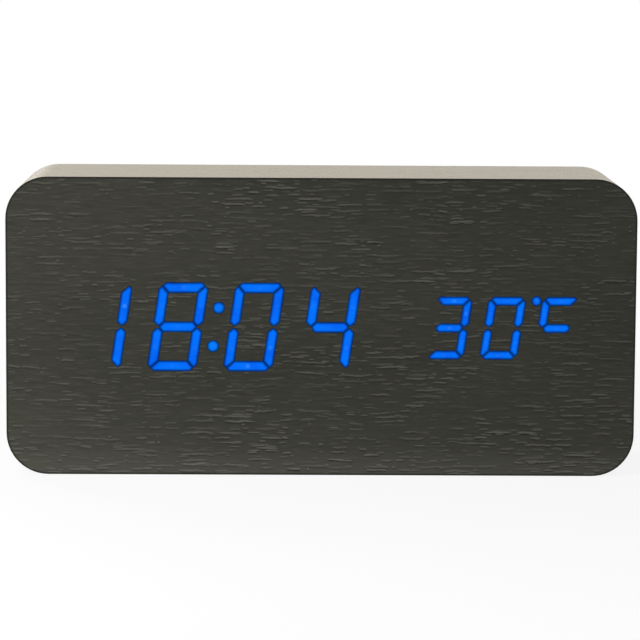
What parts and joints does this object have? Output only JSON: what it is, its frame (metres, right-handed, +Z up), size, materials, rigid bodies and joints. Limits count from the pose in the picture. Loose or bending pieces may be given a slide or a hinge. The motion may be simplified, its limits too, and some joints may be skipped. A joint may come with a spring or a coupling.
{
  "type": "digital alarm clock",
  "caption": "Wooden block alarm clock whose blue segment digits shine through a dark wood-grain front film, with push buttons, a power inlet and a battery door at the back.",
  "frame": {"origin": "middle of the bottom face", "axes": "+Z up, -Y out of the display, +X to the right seen from the front"},
  "size_m": [0.15, 0.042, 0.0713],
  "materials": {
    "dark_wood": "dark wood-grain film over fibreboard, satin",
    "dark_film": "dark wood-grain film, satin",
    "lit_blue": "film lit from behind, blue",
    "white_plastic": "moulded, matt",
    "milky_plastic": "milky sheet, matt",
    "led_body": "clear resin",
    "circuit_board": "green lacquer",
    "black_plastic": "fine moulded grain",
    "steel": "nickel plated",
    "cell_wrap": "plain shrink sleeve, satin",
    "grey_cable": "flat cable",
    "sensor_resin": "dipped resin"
  },
  "bodies": {
    "case": {"buzzer": "black_plastic", "cell_link_lower": "steel", "cell_link_middle": "steel", "cell_link_upper": "steel", "cell_spring_1": "steel", "cell_spring_2": "steel", "cell_spring_3": "steel", "cell_spring_4": "steel", "controller_chip": "black_plastic", "cover_screws": "steel", "crystal": "steel", "diffuser_sheet": "milky_plastic", "display_board": "circuit_board", "display_driver_chip": "black_plastic", "display_plug": "white_plastic", "display_screws": "steel", "down_switch_base": "black_plastic", "down_switch_shield": "steel", "flat_cable": "grey_cable", "front_film": "dark_film", "inlet_core": "black_plastic", "inlet_shell": "steel", "lit_colon": "lit_blue", "lit_degree_unit": "lit_blue", "lit_hour_tens": "lit_blue", "lit_hour_units": "lit_blue", "lit_minute_tens": "lit_blue", "lit_minute_units": "lit_blue", "lit_temperature_tens": "lit_blue", "lit_temperature_units": "lit_blue", "main_board": "circuit_board", "main_board_plug": "white_plastic", "main_board_screws": "steel", "negative_terminal": "steel", "positive_terminal": "steel", "power_cell_1": "cell_wrap", "power_cell_2": "cell_wrap", "power_cell_3": "cell_wrap", "power_cell_4": "cell_wrap", "rear_cover": "black_plastic", "segment_leds": "led_body", "segment_shroud": "white_plastic", "set_switch_base": "black_plastic", "set_switch_shield": "steel", "temperature_sensor": "sensor_resin", "up_switch_base": "black_plastic", "up_switch_shield": "steel", "wood_body": "dark_wood"},
    "set_button": {"set_button": "black_plastic", "set_switch_plunger": "black_plastic"},
    "up_button": {"up_button": "black_plastic", "up_switch_plunger": "black_plastic"},
    "down_button": {"down_button": "black_plastic", "down_switch_plunger": "black_plastic"},
    "battery_door": {"battery_door": "black_plastic"}
  },
  "joints": [
    {"name": "set_button_press", "type": "slide", "parent": "case", "child": "set_button", "axis": [0, -1, 0], "range_m": [0, 0.0005], "stiffness_N_per_m": 400, "springref_m": -0.001},
    {"name": "up_button_press", "type": "slide", "parent": "case", "child": "up_button", "axis": [0, -1, 0], "range_m": [0, 0.0005], "stiffness_N_per_m": 400, "springref_m": -0.001},
    {"name": "down_button_press", "type": "slide", "parent": "case", "child": "down_button", "axis": [0, -1, 0], "range_m": [0, 0.0005], "stiffness_N_per_m": 400, "springref_m": -0.001},
    {"name": "battery_door_hinge", "type": "hinge", "parent": "case", "child": "battery_door", "pos_m": [-0.02575, 0.0195, 0.01295], "axis": [-1, 0, 0], "range_deg": [0, 60]}
  ]
}
